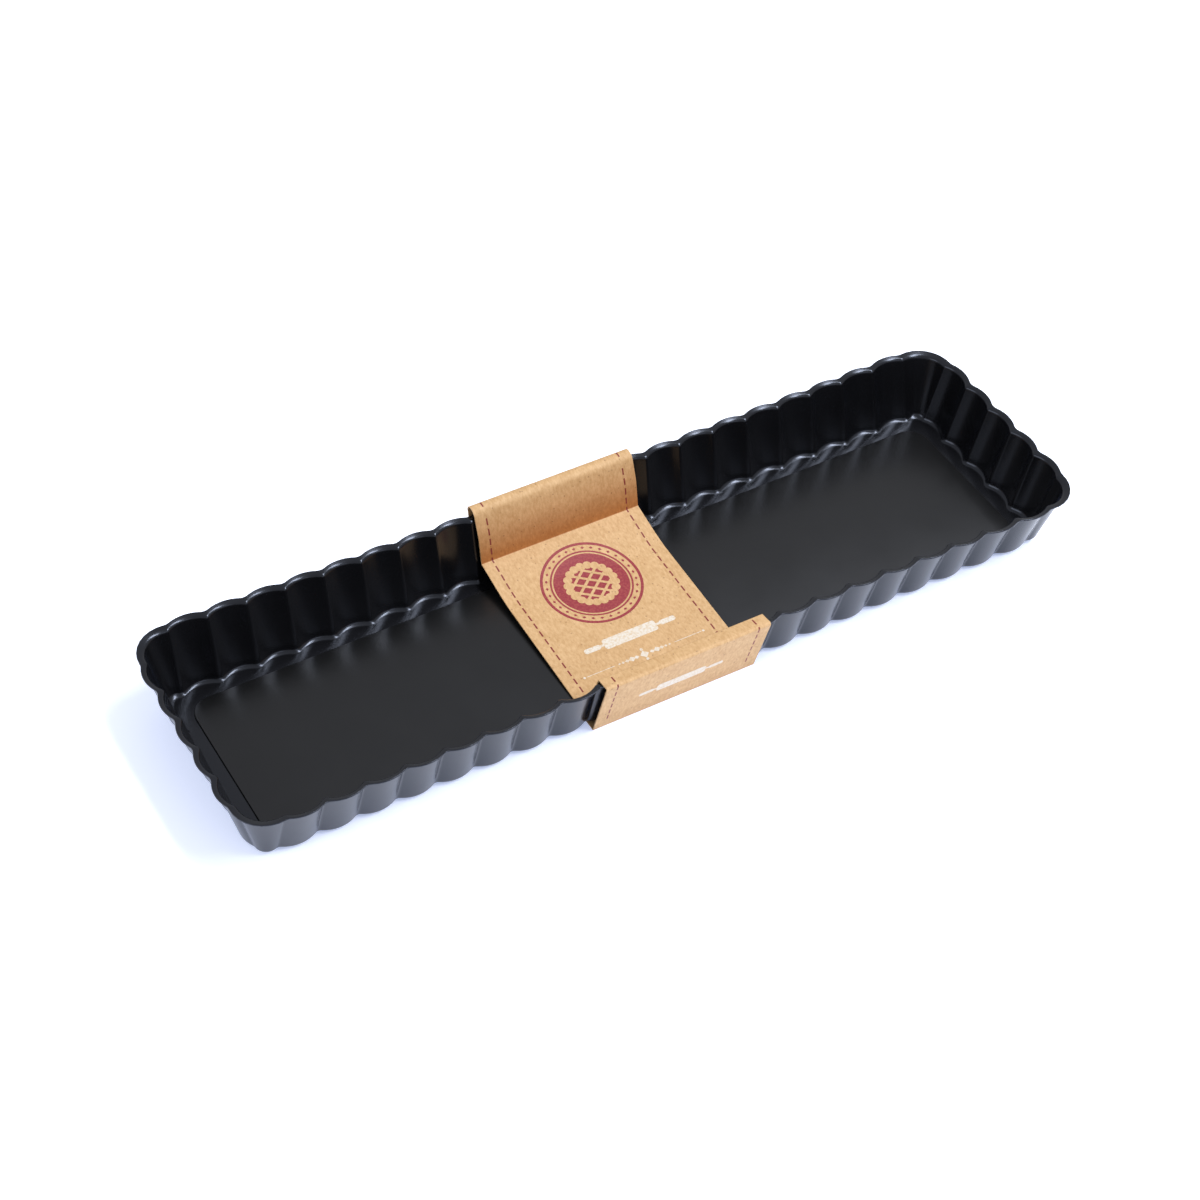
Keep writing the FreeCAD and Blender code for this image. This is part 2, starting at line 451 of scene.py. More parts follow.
@dataclass(frozen=True)
class PaperGlue(Finish):
    """Dried starch glue between two layers of card: milky, a little shiny, brushed on."""

    name: str = "starch_glue_dried"
    colour: str = "#d9cba6"
    thick_colour: str = "#efe6cc"
    roughness: float = 0.4
    streak_size: float = 0.002

    def material(self) -> bpy.types.Material:
        """Make the glue."""
        made, tree, place = self.start()
        along = add_node(tree, "ShaderNodeMapping", {"Vector": place, "Scale": (0.2, 1.0, 1.0)})
        streak = add_node(
            tree,
            "ShaderNodeTexNoise",
            {"Vector": along.outputs[0], "Scale": 1 / self.streak_size, "Detail": 2.0},
        )
        tone = add_node(
            tree,
            "ShaderNodeMix",
            {SHARE: streak.outputs["Fac"], FIRST: linear(self.colour), SECOND: linear(self.thick_colour)},
            data_type="RGBA",
        )
        self.close(tree, {"Base Color": tone.outputs[BLEND], "Roughness": self.roughness, "IOR": 1.5})
        return made


@dataclass(frozen=True)
class OpalTable(Finish):
    """Matt opal acrylic table top, lit a little from below with a cool light."""

    name: str = "opal_acrylic_matt"
    colour: str = "#f6f7f9"
    glow: str = "#a4b2d6"
    glow_strength: float = 0.8
    grain_size: float = 0.004

    def material(self) -> bpy.types.Material:
        """Make the acrylic."""
        made, tree, place = self.start()
        grain = add_node(tree, "ShaderNodeTexNoise", {"Vector": place, "Scale": 1 / self.grain_size})
        bump = add_node(
            tree, "ShaderNodeBump", {"Height": grain.outputs["Fac"], "Strength": 0.1, "Distance": 0.0001}
        )
        self.close(
            tree,
            {
                "Base Color": linear(self.colour),
                "Roughness": 0.9,
                "Emission Color": linear(self.glow),
                "Emission Strength": self.glow_strength,
                "Normal": bump.outputs[0],
            },
        )
        return made


# --- the fluted ring ---


@dataclass(frozen=True)
class Outline:
    """One closed fluted outline of the ring's inner face, at one height."""

    half_length: float
    half_width: float
    flute: float
    cusp_radius: float
    corner: float
    bow: float
    z: float

    def moved(self, out: float, rise: float) -> Outline:
        """The same flutes further out and higher."""
        return replace(
            self, half_length=self.half_length + out, half_width=self.half_width + out, z=self.z + rise
        )

    def mixed(self, other: Outline, share: float) -> Outline:
        """The outline a share of the way to another one."""
        return Outline(*(a + (b - a) * share for a, b in zip(astuple(self), astuple(other))))


@dataclass
class FlutedRing:
    """The tin's fluted wall with its ledge and turned-out lip, pressed from one steel sheet."""

    body: str = "ring"
    side_flutes: int = 21
    end_flutes: int = 5
    side_pitch: float = 0.015
    end_pitch: float = 0.01465
    foot_bend: float = 0.002
    lip_bend: float = 0.0014
    lip_width: float = 0.002
    lip_slope: float = math.radians(18)
    wall_lean: float = math.atan2(0.008, 0.0257)  # 8 mm out over the wall's height
    ledge_reach: float = 0.0105
    hole_corner: float = 0.005
    ledge_rim: float = 0.0005  # flat strip between the ledge and the foot bend
    edge_round: float = 0.00012
    arc_steps: int = 8  # points along each lobe and each cusp
    foot_steps: int = 8
    lip_steps: int = 6
    foot: Outline = Outline(
        half_length=0.1634,
        half_width=0.0392,
        flute=0.0021,
        cusp_radius=0.0026,
        corner=0.0065,
        bow=0.0,
        z=0.0017,
    )
    shoulder: Outline = Outline(
        half_length=0.1698,
        half_width=0.0472,
        flute=0.0023,
        cusp_radius=0.0014,
        corner=0.0115,
        bow=0.0017,
        z=0.0274,
    )
    edge_flute: float = 0.0016
    edge_cusp_radius: float = 0.004
    edge_corner: float = 0.0168
    coat: NonStickCoat = NonStickCoat()

    def wall(
        self, count: int, pitch: float, half: float, bow: float, outline: Outline
    ) -> list[tuple[float, ...]]:
        """Lobe and cusp circles of one wall, with a cusp at each end.

        Args:
            count: flutes along the wall.
            pitch: their spacing.
            half: how far out the cusp line is.
            bow: how far the wall is pressed in at its middle.
            outline: the outline that the wall belongs to.

        Returns:
            Each circle's place along the wall, its place outward, and its radius.
        """
        half_turn = 2 * math.atan(2 * outline.flute / pitch)
        reach = pitch / 2 / math.sin(half_turn)
        line = half + outline.cusp_radius
        circles = [(-count * pitch / 2, line, outline.cusp_radius)]
        for i in range(count):
            along = (i - (count - 1) / 2) * pitch
            circles.append((along, line - reach * math.cos(half_turn), reach - outline.cusp_radius))
            circles.append((along + pitch / 2, line, outline.cusp_radius))
        if not bow:
            return circles
        bend = (count * pitch / 2) ** 2 / (2 * bow)
        placed = []
        for along, outward, radius in circles:
            arm = bend - outward + half
            turn = along / bend
            placed.append((arm * math.sin(turn), half - bow + bend - arm * math.cos(turn), radius))
        return placed

    def corner_lobe(self, before: Vector, after: Vector, outline: Outline) -> tuple[Vector, float]:
        """The lobe that joins two walls: its centre and radius."""
        chord = after - before
        outward = Vector((chord.y, -chord.x, 0)).normalized()
        inset = math.sqrt(outline.corner**2 - chord.length_squared / 4)
        return (before + after) / 2 - outward * inset, outline.corner - outline.cusp_radius

    def loop(self, outline: Outline) -> list[Vector]:
        """Points round an outline: every lobe and cusp is an arc, tangent to the next.

        Args:
            outline: the outline to follow.

        Returns:
            The points, anticlockwise from above.
        """
        end = self.wall(self.end_flutes, self.end_pitch, outline.half_length, 0.0, outline)
        side = self.wall(self.side_flutes, self.side_pitch, outline.half_width, outline.bow, outline)
        circles: list[tuple[Vector, float]] = []
        for quarter, wall in enumerate((end, side, end, side)):
            turn = Matrix.Rotation(quarter * math.pi / 2, 3, "Z")
            placed = [(turn @ Vector((o, a, 0)), r) for a, o, r in wall]
            if circles:
                circles.append(self.corner_lobe(circles[-1][0], placed[0][0], outline))
            circles += placed
        circles.append(self.corner_lobe(circles[-1][0], circles[0][0], outline))

        following = circles[1:] + circles[:1]
        touch = [c.lerp(d, r / (r + s)) for (c, r), (d, s) in zip(circles, following)]
        points = []
        for i, (centre, _) in enumerate(circles):
            start, stop = touch[i - 1] - centre, touch[i] - centre
            sweep = math.atan2(start.cross(stop).z, start.dot(stop))
            for step in range(self.arc_steps):
                share = step / self.arc_steps
                arm = start * (1 + (stop.length / start.length - 1) * share)
                arm = Matrix.Rotation(sweep * share, 3, "Z") @ arm
                points.append(centre + arm + Vector((0, 0, outline.z)))
        return points

    def hole(self, around: Sequence[Vector]) -> list[Vector]:
        """The ledge's inner edge: the nearest place on a round-cornered rectangle to each point."""
        length = self.foot.half_length - self.ledge_reach - self.hole_corner
        width = self.foot.half_width - self.ledge_reach - self.hole_corner
        points = []
        for point in around:
            x, y = max(-length, min(length, point.x)), max(-width, min(width, point.y))
            near = Vector((x, y, point.z))
            points.append(near + (point - near).normalized() * self.hole_corner)
        return points

    def outlines(self) -> list[Outline]:
        """The ring's outlines from the ledge to the lip's edge."""
        levels = []
        turn = math.pi / 2 - self.wall_lean
        tangent = self.foot_bend * math.tan(turn / 2)
        levels.append(self.foot.moved(-tangent - self.ledge_rim, 0.0))
        for step in range(self.foot_steps + 1):
            angle = turn * step / self.foot_steps
            out = -tangent + self.foot_bend * math.sin(angle)
            levels.append(self.foot.moved(out, self.foot_bend * (1 - math.cos(angle))))
        turn = math.pi / 2 - self.wall_lean - self.lip_slope
        tangent = self.lip_bend * math.tan(turn / 2)
        out, rise = -tangent * math.sin(self.wall_lean), -tangent * math.cos(self.wall_lean)
        bend = []
        for step in range(self.lip_steps + 1):
            angle = self.wall_lean + turn * step / self.lip_steps
            bend.append(
                self.shoulder.moved(
                    out + self.lip_bend * (math.cos(self.wall_lean) - math.cos(angle)),
                    rise + self.lip_bend * (math.sin(angle) - math.sin(self.wall_lean)),
                )
            )
        levels += [levels[-1].mixed(bend[0], share) for share in (0.03, 0.25, 0.5, 0.75, 0.97)]
        levels += bend
        fade = self.shoulder.flute - self.edge_flute
        lip = replace(
            self.shoulder.moved(
                self.lip_width * math.cos(self.lip_slope) + fade, self.lip_width * math.sin(self.lip_slope)
            ),
            flute=self.edge_flute,
            cusp_radius=self.edge_cusp_radius,
            corner=self.edge_corner,
        )
        levels += [bend[-1].mixed(lip, share) for share in (0.15, 0.5, 0.85, 1.0)]
        return levels

    def build(self) -> bpy.types.Object:
        """Shape the sheet from a circle, loop by loop, and give it its thickness.

        Returns:
            The finished ring.
        """
        loops = [self.loop(level) for level in self.outlines()]
        loops.insert(0, self.hole(loops[0]))
        ring = primitive("fluted_ring_sheet", "circle", vertices=len(loops[0]), radius=self.foot.half_width)
        for vertex, place in zip(ring.data.vertices, loops[0]):
            vertex.co = place
        with editing(ring):
            mesh = bmesh.from_edit_mesh(ring.data)
            mesh.verts.ensure_lookup_table()
            last = list(mesh.verts)
            bpy.ops.mesh.select_all(action="SELECT")
            for places in loops[1:]:
                bpy.ops.mesh.extrude_edges_move()
                mesh = bmesh.from_edit_mesh(ring.data)
                fresh = [self.risen(vertex) for vertex in last]
                for vertex, place in zip(fresh, places):
                    vertex.co = place
                last = fresh
            bmesh.update_edit_mesh(ring.data)
            mesh.normal_update()
            mesh.faces.ensure_lookup_table()
            if mesh.faces[0].normal.z < 0:
                bpy.ops.mesh.select_all(action="SELECT")
                bpy.ops.mesh.flip_normals()
        apply_modifier(ring, "SOLIDIFY", thickness=STEEL, offset=-1.0, use_even_offset=True)
        apply_modifier(
            ring,
            "BEVEL",
            width=self.edge_round,
            segments=2,
            limit_method="ANGLE",
            angle_limit=math.radians(60),
        )
        smooth(ring, 50)
        dress(ring, self.coat.material())
        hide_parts("fluted_ring")
        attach(ring, self.body)
        return ring

    @staticmethod
    def risen(vertex: bmesh.types.BMVert) -> bmesh.types.BMVert:
        """The newly extruded vertex that a vertex of the loop before is joined to."""
        return next(e.other_vert(vertex) for e in vertex.link_edges if e.other_vert(vertex).select)


@dataclass
class LooseBase:
    """The flat plate that lies on the ring's ledge."""

    body: str = "base"
    half_length: float = 0.158
    half_width: float = 0.0338
    corner: float = 0.008
    floor_z: float = 0.0017
    edge_round: float = 0.00014
    coat: NonStickCoat = NonStickCoat(
        name="nonstick_coat_plate",
        colour="#0b0b0b",
        thin_colour="#101010",
        sheen_tint="#f4f7ff",
        roughness=0.28,
        haze=0.0,
    )

    def build(self) -> bpy.types.Object:
        """Cut the plate from a block: round its corners, then break its sharp edges.

        Returns:
            The finished plate.
        """
        plate = primitive(
            "loose_base_plate",
            "cube",
            size=1.0,
            location=(0, 0, self.floor_z + STEEL / 2),
            scale=(2 * self.half_length, 2 * self.half_width, STEEL),
        )
        with editing(plate):
            pick_edges(plate, lambda a, b: abs(a.z - b.z) > STEEL / 2)
            bpy.ops.mesh.bevel(offset=self.corner, segments=12)
            pick_edges(plate, lambda a, b: abs(a.z - b.z) < STEEL / 2 and self.on_rim((a + b) / 2))
            bpy.ops.mesh.bevel(offset=self.edge_round, segments=3)
        smooth(plate, 50)
        dress(plate, self.coat.material())
        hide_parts("loose_base")
        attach(plate, self.body)
        return plate

    def on_rim(self, place: Vector) -> bool:
        """True if a place is on the plate's outline."""
        x, y = self.half_length - self.corner, self.half_width - self.corner
        away = Vector((max(abs(place.x) - x, 0), max(abs(place.y) - y, 0)))
        return away.length > self.corner * 0.98  # the middle of a short edge lies just inside


# --- the card sleeve ---


@dataclass(frozen=True)
class Fold:
    """One corner of the band's middle line, and the radius that it is bent to."""

    y: float
    z: float
    radius: float = 0.0


@dataclass
class BandLine:
    """The middle line of the card band, seen end on, as straight runs and tangent arcs."""

    folds: tuple[Fold, ...] = (
        Fold(0.016, 0.00085),
        Fold(0.0429, 0.00085, 0.0008),
        Fold(0.0517, 0.031, 0.0022),
        Fold(0.0466, 0.0312, 0.003),
        Fold(0.0423, 0.021, 0.026),
        Fold(0.0399, 0.0099, 0.0008),
        Fold(0.022, 0.0057, 0.06),
        Fold(-0.028, 0.0031, 0.06),
        Fold(-0.0372, 0.0029, 0.001),
        Fold(-0.0449, 0.02795, 0.0006),
        Fold(-0.0507, 0.02875, 0.0007),
        Fold(-0.0432, 0.00025, 0.0007),
        Fold(0.036, 0.00025),
    )
    stations: list[tuple[float, Vector, Vector]] = field(default_factory=list)

    def __post_init__(self) -> None:
        """Walk along the runs and arcs, and note where the line is and which way it goes."""
        corners = [Vector((fold.y, fold.z)) for fold in self.folds]
        last, walked = corners[0], 0.0
        for i in range(1, len(corners) - 1):
            before = (corners[i] - corners[i - 1]).normalized()
            after = (corners[i + 1] - corners[i]).normalized()
            turn = math.atan2(before.x * after.y - before.y * after.x, before.dot(after))
            radius = self.folds[i].radius
            start = corners[i] - before * (radius * math.tan(abs(turn) / 2))
            walked = self.run(walked, last, start, before)
            steps = max(3, math.ceil(abs(turn) / math.radians(9)))
            left = Vector((-before.y, before.x)) * math.copysign(radius, turn)
            for step in range(1, steps + 1):
                way = Matrix.Rotation(turn * step / steps, 2)
                last = start + left - way @ left
                walked += radius * abs(turn) / steps
                self.stations.append((walked, last, way @ before))
        self.run(walked, last, corners[-1], (corners[-1] - last).normalized())

    def run(self, walked: float, start: Vector, stop: Vector, way: Vector) -> float:
        """Note a straight run, at every few millimetres.

        Args:
            walked: distance along the line at the run's start.
            start: where the run starts.
            stop: where it ends.
            way: its direction.

        Returns:
            The distance along the line at its end.
        """
        length = (stop - start).length
        steps = max(1, math.ceil(length / 0.004))
        for step in range(0 if not self.stations else 1, steps + 1):
            self.stations.append((walked + length * step / steps, start.lerp(stop, step / steps), way))
        return walked + length

    def at(self, distance: float) -> tuple[Vector, Vector]:
        """Find a place on the line.

        Args:
            distance: from the line's start.

        Returns:
            The place as (y, z), and the direction that the printed face looks in.
        """
        for (a, here, way), (b, there, onward) in zip(self.stations, self.stations[1:]):
            if distance <= b:
                break
        share = (distance - a) / (b - a) if b > a else 0.0
        heading = way.lerp(onward, share).normalized()
        return here.lerp(there, share), Vector((heading.y, -heading.x))

    def crossing(self, height: float, after: float) -> float:
        """The first distance past another one at which the line crosses a height."""
        for (a, here, _), (b, there, _) in zip(self.stations, self.stations[1:]):
            if a >= after and (here.y - height) * (there.y - height) <= 0 and here.y != there.y:
                return a + (b - a) * (height - here.y) / (there.y - here.y)
        raise ValueError("the band doesn't cross that height")

    def fold_at(self, number: int) -> float:
        """The distance along the line that is nearest to a fold's corner."""
        corner = Vector((self.folds[number].y, self.folds[number].z))
        return min(self.stations, key=lambda station: (station[1] - corner).length)[0]


class Stretch(Enum):
    """The three stretches that the band is made in; only the middle one gives way."""

    REAR = "card_rear_wrap"
    MIDDLE = "card_inner_panel"
    FRONT = "card_front_wrap"


@dataclass
class CardSleeve:
    """The folded band of kraft card, in three stretches that meet inside the rim."""

    body: str = "sleeve"
    left: float = -0.0364
    right: float = 0.0312
    joint_z: float = 0.028  # where the stretches meet, just inside the rim
    keep: float = 0.15  # the least that the middle stretch is squashed to
    columns: int = 12
    line: BandLine = field(default_factory=BandLine)
    card: KraftCard = KraftCard()

    def __post_init__(self) -> None:
        """Find where the stretches meet."""
        rear_bend = self.line.fold_at(3)
        front_foot = self.line.fold_at(8)
        self.cuts = (
            0.0,
            self.line.crossing(self.joint_z, rear_bend),
            self.line.crossing(self.joint_z, front_foot),
            self.line.stations[-1][0],
        )

    def strip(self, stretch: Stretch) -> bpy.types.Object:
        """Extrude one stretch of the band along its line.

        Args:
            stretch: which one.

        Returns:
            The finished strip.
        """
        number = list(Stretch).index(stretch)
        start, stop = self.cuts[number], self.cuts[number + 1]
        inner = [s for s, _, _ in self.line.stations if start + 10 * SAME < s < stop - 10 * SAME]
        rows = [self.line.at(start)[0]]
        for distance in [*inner, stop]:
            place = self.line.at(distance)[0]
            if (place - rows[-1]).length > SAME:
                rows.append(place)
        obj = primitive(
            stretch.value,
            "grid",
            x_subdivisions=self.columns,
            y_subdivisions=1,
            size=1.0,
            location=((self.left + self.right) / 2, 0, 0),
            scale=(self.right - self.left, 1.0, 1.0),
        )
        for vertex in obj.data.vertices:
            row = rows[0] if vertex.co.y > 0 else rows[1]
            vertex.co = (vertex.co.x, row.x, row.y)
        with editing(obj):
            pick_edges(obj, lambda a, b: all((v.yz - rows[1]).length < SAME / 2 for v in (a, b)))
            for before, after in zip(rows[1:], rows[2:]):
                step = after - before
                bpy.ops.mesh.extrude_edges_move(TRANSFORM_OT_translate={"value": (0, step.x, step.y)})
        apply_modifier(obj, "SOLIDIFY", thickness=CARD, offset=0.0, use_even_offset=True)
        with editing(obj):
            bpy.ops.mesh.select_all(action="SELECT")
            bpy.ops.mesh.normals_make_consistent(inside=False)
        smooth(obj, 30)
        return obj

    def fit(self, obj: bpy.types.Object, stretch: Stretch) -> bpy.types.Object:
        """Let a piece ride on the sleeve, and give way with the middle stretch.

        Args:
            obj: the card or a print on it.
            stretch: where it is.

        Returns:
            The same piece.
        """
        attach(obj, self.body)
        if stretch is Stretch.MIDDLE:
            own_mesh(obj)
        return obj

    def build(self) -> list[bpy.types.Object]:
        """Fold the whole band.

        Returns:
            Its three stretches.
        """
        material = self.card.material()
        made = []
        for stretch in Stretch:
            obj = self.strip(stretch)
            dress(obj, material)
            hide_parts("card_sleeve")
            made.append(self.fit(obj, stretch))
        return made


# --- the print ---


class Ink(Enum):
    """The inks that the card is printed with; kraft is bare card inside a printed area."""

    MAROON = "maroon"
    THREAD = "thread"
    WHITE = "white"
    KRAFT = "kraft"


@dataclass
class Motifs:
    """Flat shapes for the print, drawn lying down, with up on the print along +Y."""

    # diamonds on either half of the divider: share of the half, and width
    divider_beads: tuple[tuple[float, float], ...] = (
        (0.13, 0.0017),
        (0.21, 0.0024),
        (0.29, 0.0015),
        (0.36, 0.0011),
        (0.42, 0.0009),
    )

    def disc(self, radius: float, x: float, y: float, sides: int = 48) -> bpy.types.Object:
        """A filled circle."""
        place = (x, y, 0)
        return primitive("disc", "circle", vertices=sides, radius=radius, fill_type="NGON", location=place)

    def hoop(self, outer: float, inner: float, x: float, y: float, sides: int = 96) -> bpy.types.Object:
        """A circular line, left when a disc's middle is cut out."""
        made = self.disc(outer, x, y, sides)
        with editing(made):
            bpy.ops.mesh.select_mode(type="FACE")
            bpy.ops.mesh.select_all(action="SELECT")
            bpy.ops.mesh.inset(thickness=(outer - inner) * math.cos(math.pi / sides))
            bpy.ops.mesh.delete(type="FACE")
        return made

    def bar(
        self, length: float, width: float, x: float, y: float, angle: float = 0.0, soft: float = 0.0
    ) -> bpy.types.Object:
        """A bar with soft ends.

        Args:
            length: along the bar.
            width: across it.
            x, y: its middle.
            angle: how far it is turned, anticlockwise.
            soft: radius of its corners.

        Returns:
            The flat bar.
        """
        made = primitive("bar", "plane", size=1.0, scale=(length, width, 1))
        if soft:
            with editing(made):
                bpy.ops.mesh.select_all(action="SELECT")
                bpy.ops.mesh.bevel(offset=soft, segments=5, affect="VERTICES")
        made.data.transform(Matrix.Translation((x, y, 0)) @ Matrix.Rotation(angle, 4, "Z"))
        return made

    def lozenge(
        self, length: float, width: float, x: float, y: float, angle: float = 0.0
    ) -> bpy.types.Object:
        """A four-cornered diamond."""
        made = primitive("lozenge", "circle", vertices=4, radius=0.5, fill_type="NGON")
        size = Matrix.Diagonal((width, length, 1, 1))
        made.data.transform(Matrix.Translation((x, y, 0)) @ Matrix.Rotation(angle, 4, "Z") @ size)
        return made

    def tart(self, radius: float, x: float, y: float) -> list[bpy.types.Object]:
        """A tart seen from above: a fluted crust and a lattice top.

        Args:
            radius: of the crust's outside.
            x, y: its middle.

        Returns:
            The flat shapes.
        """
        crust = radius * 0.84
        shapes = [self.hoop(crust + 0.0002, crust - 0.0009, x, y, 64)]
        for i in range(20):
            angle = math.tau * i / 20
            shapes.append(
                self.disc(radius - crust, x + crust * math.cos(angle), y + crust * math.sin(angle), 12)
            )
        for tilt in (math.radians(38), math.radians(-38)):
            across = Vector((-math.sin(tilt), math.cos(tilt)))
            for offset in (-0.62, -0.21, 0.21, 0.62):
                half = crust * math.sqrt(1 - offset**2)
                middle = across * (crust * offset)
                shapes.append(self.bar(2 * half, 0.00105, x + middle.x, y + middle.y, tilt))
        return shapes

    def rolling_pin(self, length: float, x: float, y: float) -> list[bpy.types.Object]:
        """A rolling pin lying across the print.

        Args:
            length: over its handles.
            x, y: its middle.

        Returns:
            The flat shapes.
        """
        thick = length * 0.125
        roller = length * 0.58
        neck = length * 0.035
        handle = (length - roller) / 2 - neck
        shapes = [self.bar(roller, thick, x, y, 0.0, thick * 0.22)]
        for side in (-1, 1):
            at_neck = x + side * (roller + neck) / 2
            at_handle = x + side * (roller / 2 + neck + handle / 2)
            shapes.append(self.bar(neck * 1.1, thick * 0.22, at_neck, y))
            shapes.append(self.bar(handle, thick * 0.46, at_handle, y, 0.0, thick * 0.2))
        return shapes

    def divider(self, half: float, x: float, y: float) -> list[bpy.types.Object]:
        """A fine rule with dots and diamonds that grow towards its middle.

        Args:
            half: from its middle to either end.
            x, y: its middle.

        Returns:
            The flat shapes.
        """
        shapes = [self.lozenge(0.0036, 0.0036, x, y)]
        for side in (-1, 1):
            shapes.append(self.bar(half * 0.46, 0.00024, x + side * half * 0.73, y))
            shapes.append(self.disc(0.0005, x + side * half, y, 12))
            for place, size in self.divider_beads:
                shapes.append(self.lozenge(size, size * 1.25, x + side * half * place, y))
        for side in (-1, 1):
            shapes.append(self.disc(0.0006, x, y + side * 0.0024, 12))
        return shapes


@dataclass
class SleevePrint:
    """Everything that is printed on the sleeve's outer face."""

    sleeve: CardSleeve
    middle_x: float = -0.003
    left_stitch: float = -0.0319
    right_stitch: float = 0.0263
    stitch_length: float = 0.0028
    stitch_pitch: float = 0.0042
    stitch_width: float = 0.0006
    stitch_margin: float = 0.001  # from the folds under the tin
    seal_rings: tuple[tuple[float, float], ...] = ((0.0194, 0.0183), (0.0157, 0.015))
    seal_disc: float = 0.0144
    seal_marks: int = 32
    mark_ring: float = 0.017  # radius that the marks stand on
    mark_size: tuple[float, float] = (0.0015, 0.0011)
    seal_drop: float = 0.0248  # from the crease at the rear
    tart_radius: float = 0.0108
    pin_length: float = 0.0385
    pin_drop: float = 0.0528
    divider_half: float = 0.0252
    divider_drop: float = 0.0632
    front_pin_length: float = 0.035
    front_pin_drop: float = 0.0148  # from the fold over the front rim
    lift: float = 0.00002  # ink above the card
    layer: float = 0.000001  # each shape of a print above the one before
    motifs: Motifs = field(default_factory=Motifs)

    def __post_init__(self) -> None:
        """Mix the inks."""
        self.inks = {
            Ink.MAROON: PrintingInk("printing_ink_maroon", "#81212d", "#94403a").material(),
            Ink.THREAD: PrintingInk("printing_ink_brown", "#701f1c", "#803c2e").material(),
            Ink.WHITE: PrintingInk("printing_ink_white", "#cfc8bc", "#c0a885").material(),
            Ink.KRAFT: self.sleeve.card.material(),
        }

    def lay(
        self,
        name: str,
        shapes: list[bpy.types.Object],
        ink: Ink,
        stretch: Stretch = Stretch.MIDDLE,
        level: int = 1,
    ) -> bpy.types.Object:
        """Join flat shapes, cut them finely across, and lay them on the band.

        Args:
            name: of the printed piece.
            shapes: flat shapes; the distance along the band is minus their Y.
            ink: what they are printed with.
            stretch: the stretch of card that they are on.
            level: 1 on the card, 2 on another print.

        Returns:
            The finished print.
        """
        over = CARD / 2 + self.lift * level
        deselect()
        for number, shape in enumerate(shapes):
            shape.data.transform(Matrix.Translation((0, 0, number * self.layer)))
            shape.select_set(True)
        bpy.context.view_layer.objects.active = shapes[0]
        if len(shapes) > 1:
            bpy.ops.object.join()
        made = bpy.context.view_layer.objects.active
        made.name = made.data.name = name
        low = min(v.co.y for v in made.data.vertices)
        high = max(v.co.y for v in made.data.vertices)
        cuts = [-s for s, _, _ in self.sleeve.line.stations if low < -s < high]
        with editing(made):
            for cut in cuts:
                bpy.ops.mesh.select_all(action="SELECT")
                bpy.ops.mesh.bisect(plane_co=(0, cut, 0), plane_no=(0, 1, 0))
        for vertex in made.data.vertices:
            place, outward = self.sleeve.line.at(-vertex.co.y)
            spot = place + outward * (over + vertex.co.z)
            vertex.co = (vertex.co.x, spot.x, spot.y)
        dress(made, self.inks[ink])
        return self.sleeve.fit(made, stretch)

    def stitches(self, start: float, stop: float) -> list[bpy.types.Object]:
        """Dashed lines along both edges of the band, between two distances along it.

        Args:
            start: where they start.
            stop: where they end.

        Returns:
            One row for each edge.
        """
        count = int((stop - start) / self.stitch_pitch)
        rows = []
        for x in (self.left_stitch, self.right_stitch):
            row = primitive(
                "stitch",
                "plane",
                size=1.0,
                location=(x, -start - self.stitch_pitch / 2, 0),
                scale=(self.stitch_width, self.stitch_length, 1),
            )
            apply_modifier(
                row,
                "ARRAY",
                count=count,
                use_relative_offset=False,
                use_constant_offset=True,
                constant_offset_displace=(0, -self.stitch_pitch, 0),
            )
            rows.append(row)
        return rows

    def seal(self, x: float, y: float) -> list[bpy.types.Object]:
        """The round seal: two rings with a row of small diamonds between them, and a full disc.

        Args:
            x, y: its middle.

        Returns:
            The flat shapes.
        """
        shapes = [self.motifs.hoop(outer, inner, x, y) for outer, inner in self.seal_rings]
        shapes.append(self.motifs.disc(self.seal_disc, x, y, 96))
        for i in range(self.seal_marks):
            angle = math.tau * (i + 0.5) / self.seal_marks
            spot = Vector((math.cos(angle), math.sin(angle))) * self.mark_ring
            shapes.append(self.motifs.lozenge(*self.mark_size, x + spot.x, y + spot.y, angle))
        return shapes

    def build(self) -> list[bpy.types.Object]:
        """Print the whole sleeve.

        Returns:
            The printed pieces.
        """
        line = self.sleeve.line
        crease = line.fold_at(5)
        x, seal_y = self.middle_x, -(crease + self.seal_drop)
        pin_y, divider_y = -(crease + self.pin_drop), -(crease + self.divider_drop)
        front_y = -(line.fold_at(10) + self.front_pin_drop)
        motifs = self.motifs
        bits = [
            self.lay("print_seal", self.seal(x, seal_y), Ink.MAROON),
            self.lay("print_seal_tart", motifs.tart(self.tart_radius, x, seal_y), Ink.KRAFT, level=2),
            self.lay("print_rolling_pin", motifs.rolling_pin(self.pin_length, x, pin_y), Ink.WHITE),
            self.lay("print_divider", motifs.divider(self.divider_half, x, divider_y), Ink.WHITE),
        ]
        front_pin = motifs.rolling_pin(self.front_pin_length, x, front_y)
        bits.append(self.lay("print_front_pin", front_pin, Ink.WHITE, Stretch.FRONT))
        first, last = line.fold_at(1) + self.stitch_margin, line.fold_at(11) - self.stitch_margin
        ends = (first, *self.sleeve.cuts[1:3], last)
        for stretch, start, stop in zip(Stretch, ends, ends[1:]):
            name = f"print_stitches_{stretch.name.lower()}"
            bits.append(self.lay(name, self.stitches(start, stop), Ink.THREAD, stretch))
        return bits


# --- the studio ---


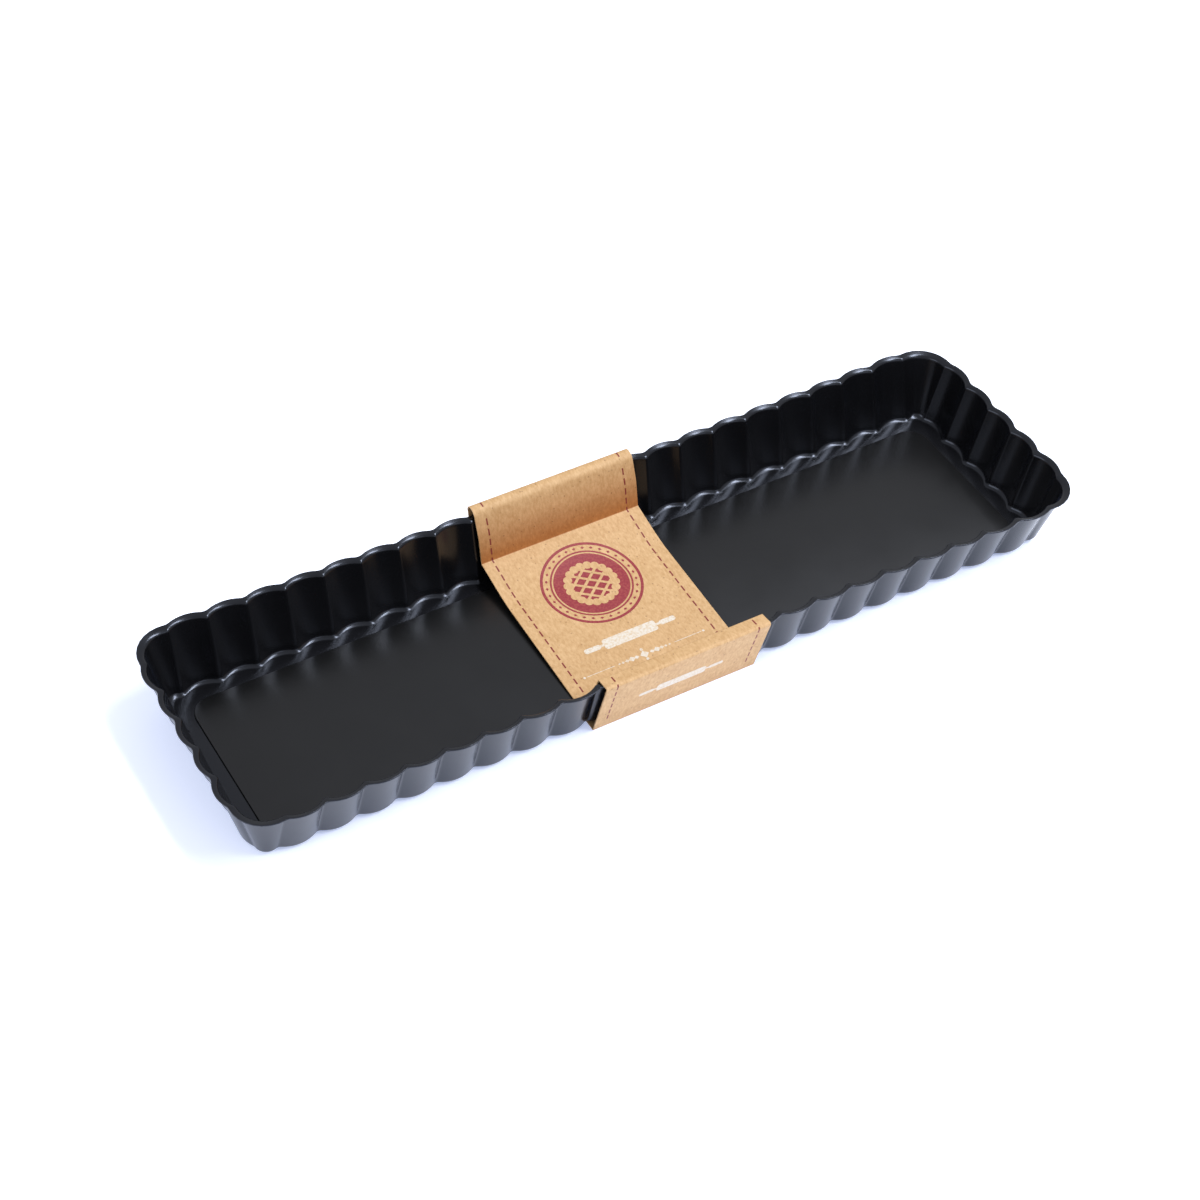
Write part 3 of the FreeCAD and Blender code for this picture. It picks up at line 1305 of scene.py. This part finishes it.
@dataclass(frozen=True)
class Softbox:
    """One soft rectangular light: it looks at the tin, or straight down if it hangs level."""

    name: str
    place: tuple[float, float, float]
    size: tuple[float, float]
    watts: float
    colour: str = "#f6f9ff"
    level: bool = False

    def hang(self) -> None:
        """Hang the light in its place."""
        bpy.ops.object.light_add(type="AREA", location=self.place)
        made = bpy.context.object
        made.name = self.name
        made.data.shape = "RECTANGLE"
        made.data.size, made.data.size_y = self.size
        made.data.energy = self.watts
        made.data.color = linear(self.colour)[:3]
        if not self.level:
            made.rotation_mode = "QUATERNION"
            made.rotation_quaternion = (-Vector(self.place)).to_track_quat("-Z", "Y")


@dataclass
class Studio:
    """A white table, soft lights and the camera."""

    aim: tuple[float, float, float] = (-0.0016, 0.0114, 0.0)
    azimuth: float = math.radians(-32.7)
    elevation: float = math.radians(45.74)
    roll: float = math.radians(3.36)
    distance: float = 0.951
    lens: float = 76.58
    air_colour: str = "#fcfcff"
    air_strength: float = 0.62
    table: OpalTable = OpalTable()
    lights: tuple[Softbox, ...] = (
        Softbox("softbox_top", (0.65, -0.5, 1.5), (0.34, 1.4), 36.0, level=True),
        Softbox("softbox_left", (-1.5, -0.2, 0.9), (0.9, 0.9), 7.0),
        Softbox("softbox_front", (0.3, -1.6, 0.9), (1.2, 0.6), 3.0, "#eef3ff"),
    )

    def camera(self) -> None:
        """Stand the camera at its angle, with its slight roll."""
        bpy.ops.object.camera_add()
        made = bpy.context.object
        made.name = "studio_camera"
        made.data.lens = self.lens
        made.data.sensor_width = 36.0
        made.data.clip_start, made.data.clip_end = 0.01, 50.0
        back = Vector(
            (
                math.sin(self.azimuth) * math.cos(self.elevation),
                -math.cos(self.azimuth) * math.cos(self.elevation),
                math.sin(self.elevation),
            )
        )
        turn = (-back).to_track_quat("-Z", "Y").to_matrix() @ Matrix.Rotation(self.roll, 3, "Z")
        made.matrix_world = Matrix.Translation(Vector(self.aim) + back * self.distance) @ turn.to_4x4()
        bpy.context.scene.camera = made

    def build(self) -> None:
        """Set the table, hang the lights and stand the camera."""
        floor = primitive("studio_floor", "plane", size=14.0)
        dress(floor, self.table.material())
        for light in self.lights:
            light.hang()
        world = bpy.data.worlds.new("studio_air")
        world.use_nodes = True
        air = world.node_tree.nodes["Background"]
        air.inputs["Color"].default_value = linear(self.air_colour)
        air.inputs["Strength"].default_value = self.air_strength
        bpy.context.scene.world = world
        bpy.context.scene.view_settings.view_transform = "Standard"
        self.camera()


def corners(box: Sequence[Vector]) -> list[list[float]]:
    """A box as plain numbers."""
    return [[float(value) for value in corner] for corner in box]


def main() -> None:
    """Build the tin, its sleeve and the studio in order."""
    logging.basicConfig(level=logging.INFO, format="%(name)s: %(message)s")
    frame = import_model()
    sleeve = CardSleeve()
    report(FlutedRing().build())
    report(LooseBase().build())
    for piece in sleeve.build():
        report(piece)
    for piece in SleevePrint(sleeve).build():
        report(piece)
    dress(frame["nodes"]["sleeve_glue"], PaperGlue().material())
    Studio().build()


if __name__ == "__main__":
    main()
